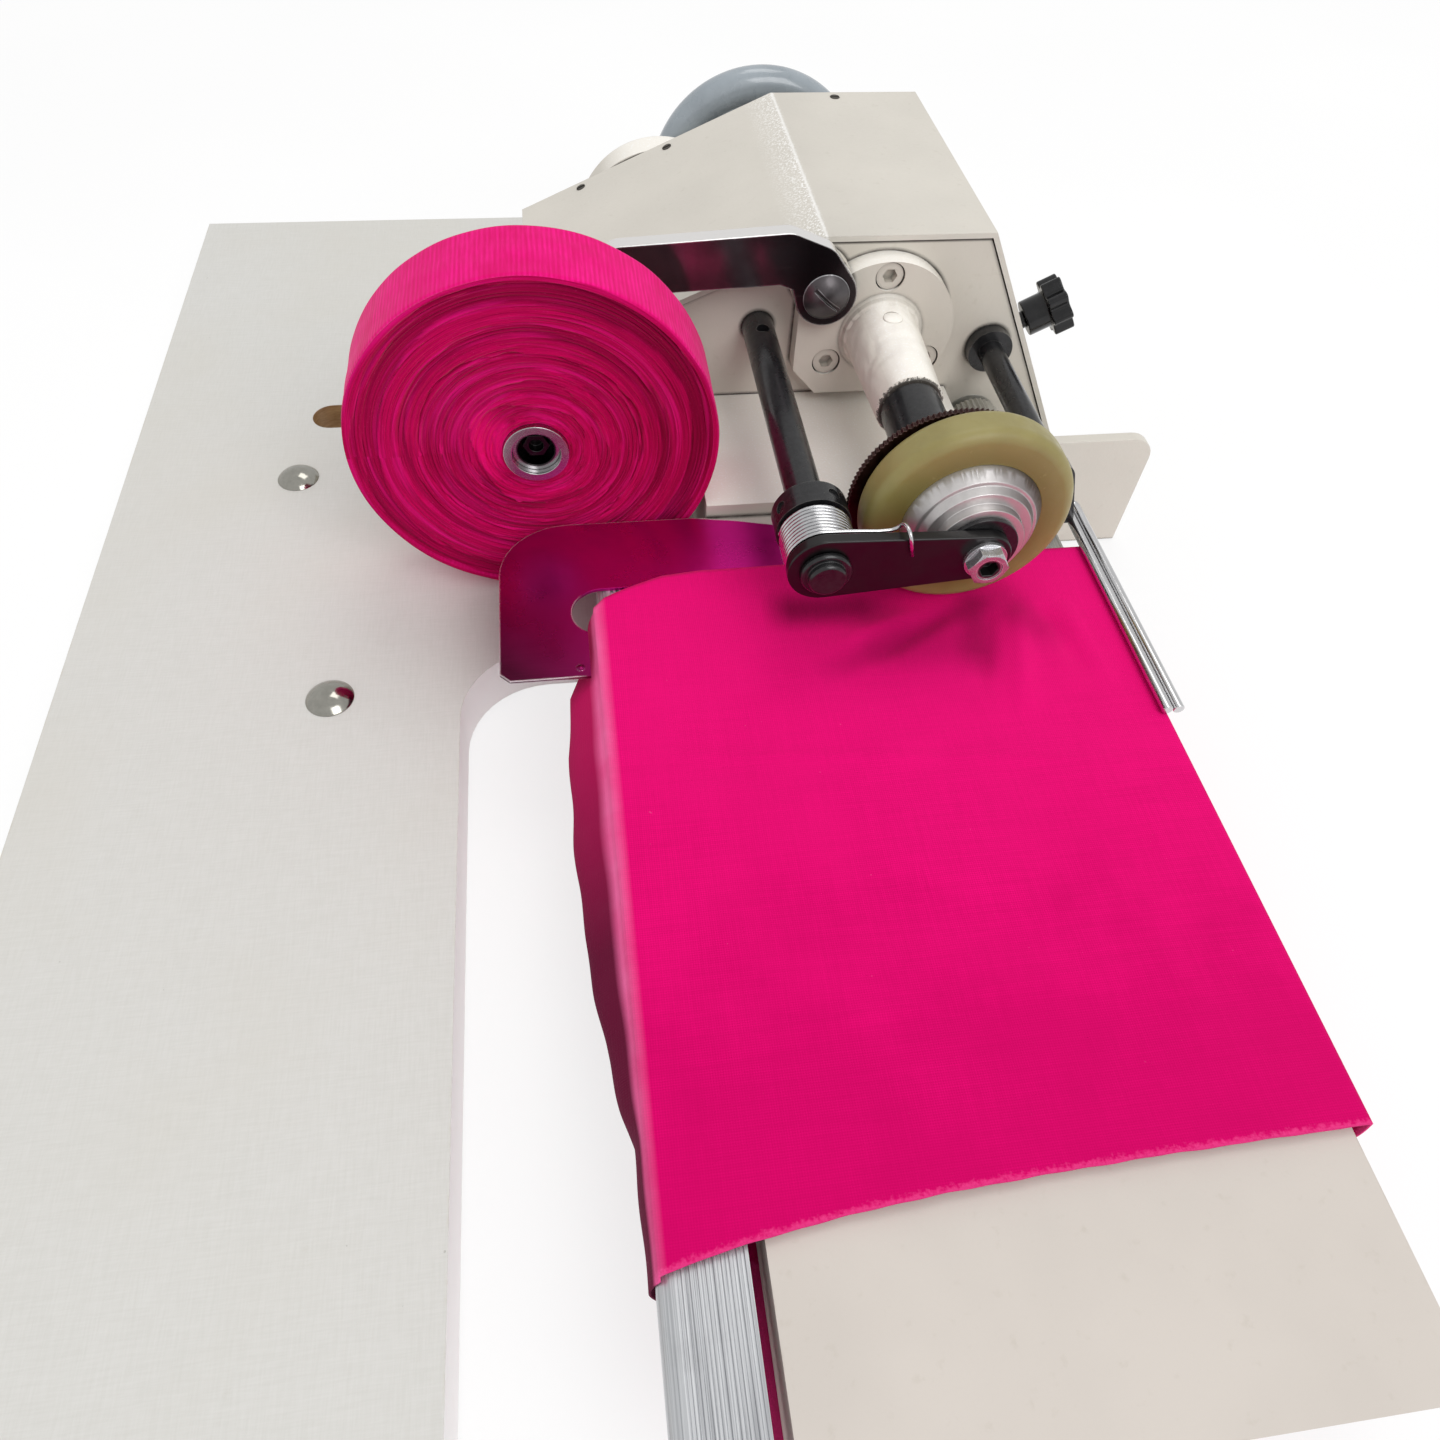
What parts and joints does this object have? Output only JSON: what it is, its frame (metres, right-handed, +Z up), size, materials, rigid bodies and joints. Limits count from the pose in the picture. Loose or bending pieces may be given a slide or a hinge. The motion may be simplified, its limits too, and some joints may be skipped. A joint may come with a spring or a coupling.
{
  "type": "bias strip cutting machine",
  "caption": "Bench machine that cuts a sewn fabric tube into one continuous bias strip with a driven round knife and press wheel, and winds it on a roll held by a pivoting arm.",
  "frame": {"origin": "middle of the bounding box's base, on the plane of the table board's underside", "axes": "+X to the operator's right, +Y away from the operator along the knife shaft, +Z up"},
  "size_m": [0.513, 0.72, 0.1796],
  "materials": {
    "table_laminate": "pale grey laminate with worn edges",
    "zinc_steel": "zinc plated",
    "cream_casting": "cream hammer paint",
    "cream_sheet": "cream hammer paint",
    "cover_screw": "darkened",
    "socket_screw": "painted over",
    "bronze": "sintered bronze",
    "ground_steel": "ground",
    "black_steel": "black oxide",
    "knife_steel": "dark, worn",
    "gear_steel": "machined",
    "pulley_alloy": "machined",
    "handwheel_paint": "gloss blue grey",
    "motor_paint": "grey",
    "belt_rubber": "matt",
    "fluted_steel": "fluted",
    "spring_steel": "bright wire",
    "tyre_polyurethane": "translucent olive yellow",
    "hub_aluminium": "turned",
    "chrome_bar": "polished",
    "core_steel": "turned",
    "knob_plastic": "gloss black",
    "arm_paint": "beige paint",
    "bar_aluminium": "ribbed extrusion",
    "mirror_plate": "polished stainless sheet",
    "pink_cloth": "plain weave",
    "pink_strip": "wound bias strip"
  },
  "bodies": {
    "base": {"table_top": "table_laminate", "table_bolts": "zinc_steel", "table_nuts": "zinc_steel", "base_casting": "cream_casting", "front_plate": "cream_casting", "back_plate": "cream_casting", "head_cover": "cream_sheet", "cover_screws": "cover_screw", "bearing_nose": "cream_casting", "flange_screws": "socket_screw", "oil_plug": "cream_casting", "nose_bush": "bronze", "rear_bushes": "bronze", "drive_front_bush": "bronze", "feed_bush": "bronze", "motor_body": "motor_paint", "motor_cap": "cream_casting", "motor_belt": "belt_rubber", "feed_belt": "belt_rubber", "pivot_rod": "black_steel", "pivot_cap": "black_steel", "clamp_collar": "black_steel", "collar_screws": "black_steel", "torsion_spring": "spring_steel", "roll_pivot_screw": "chrome_bar", "guide_bush": "black_steel", "fabric_arm": "arm_paint", "guard_plate": "cream_sheet", "fabric_tube": "pink_cloth"},
    "drive_shaft": {"drive_shaft": "ground_steel", "drive_gear": "gear_steel", "drive_pulley": "pulley_alloy", "drive_feed_pulley": "pulley_alloy", "handwheel": "handwheel_paint"},
    "knife": {"knife_shaft": "ground_steel", "knife_hub": "black_steel", "knife_disc": "knife_steel", "knife_screws": "cover_screw", "knife_gear": "gear_steel"},
    "feed": {"feed_roller": "fluted_steel", "feed_pulley": "pulley_alloy"},
    "motor_rotor": {"motor_shaft": "ground_steel", "motor_pulley": "pulley_alloy"},
    "swing_arm": {"swing_arm": "black_steel", "wheel_axle": "zinc_steel", "axle_nut": "zinc_steel", "wheel_spacer": "black_steel"},
    "press_wheel": {"wheel_hub": "hub_aluminium", "wheel_tyre": "tyre_polyurethane", "wheel_bearings": "zinc_steel"},
    "roll_arm": {"roll_arm": "chrome_bar", "roll_spindle": "core_steel"},
    "wound_roll": {"roll_core": "core_steel", "strip_roll": "pink_strip"},
    "edge_guide": {"guide_rod": "black_steel", "guide_block": "black_steel", "hairpin_guide": "zinc_steel"},
    "clamp_knob": {"star_knob": "knob_plastic"},
    "width_guide": {"width_bar": "bar_aluminium", "guide_plate": "mirror_plate"}
  },
  "joints": [
    {"name": "handwheel_turn", "type": "hinge", "parent": "base", "child": "drive_shaft", "pos_m": [0.0882, 0.076, 0.0859], "axis": [0, 1, 0], "continuous": true},
    {"name": "knife_turn", "type": "hinge", "parent": "base", "child": "knife", "pos_m": [0.1155, 0.076, 0.107], "axis": [0, 1, 0], "continuous": true},
    {"name": "feed_turn", "type": "hinge", "parent": "base", "child": "feed", "pos_m": [0.1745, 0.076, 0.0499], "axis": [0, 1, 0], "continuous": true},
    {"name": "motor_turn", "type": "hinge", "parent": "base", "child": "motor_rotor", "pos_m": [0.0285, 0.076, 0.074], "axis": [0, 1, 0], "continuous": true},
    {"name": "swing_lift", "type": "hinge", "parent": "base", "child": "swing_arm", "pos_m": [0.0585, -0.076, 0.107], "axis": [0, -1, 0], "range_deg": [0, 30], "stiffness_Nm_per_rad": 1.2, "springref_deg": -34.38, "deforming": ["torsion_spring"]},
    {"name": "press_wheel_turn", "type": "hinge", "parent": "swing_arm", "child": "press_wheel", "pos_m": [0.12, -0.054, 0.1085], "axis": [0, 1, 0], "continuous": true},
    {"name": "roll_arm_lift", "type": "hinge", "parent": "base", "child": "roll_arm", "pos_m": [0.085, 0.072, 0.131], "axis": [0, 1, 0], "range_deg": [0, 40]},
    {"name": "roll_turn", "type": "hinge", "parent": "roll_arm", "child": "wound_roll", "pos_m": [-0.0465, 0.03, 0.103], "axis": [0, 1, 0], "continuous": true},
    {"name": "guide_slide", "type": "slide", "parent": "base", "child": "edge_guide", "axis": [0, 1, 0], "range_m": [-0.02, 0.04]},
    {"name": "knob_turn", "type": "hinge", "parent": "base", "child": "clamp_knob", "pos_m": [0.1906, 0.092, 0.1009], "axis": [0.8838, 0, 0.4679], "range_deg": [-180, 180]},
    {"name": "width_slide", "type": "slide", "parent": "base", "child": "width_guide", "axis": [-1, 0, 0], "range_m": [-0.004, 0.015], "deforming": ["fabric_tube"]}
  ],
  "couplings": [
    {"joint": "knife_turn", "follows": "handwheel_turn", "ratio": -1},
    {"joint": "feed_turn", "follows": "handwheel_turn", "ratio": 1},
    {"joint": "motor_turn", "follows": "handwheel_turn", "ratio": 1.5385}
  ]
}
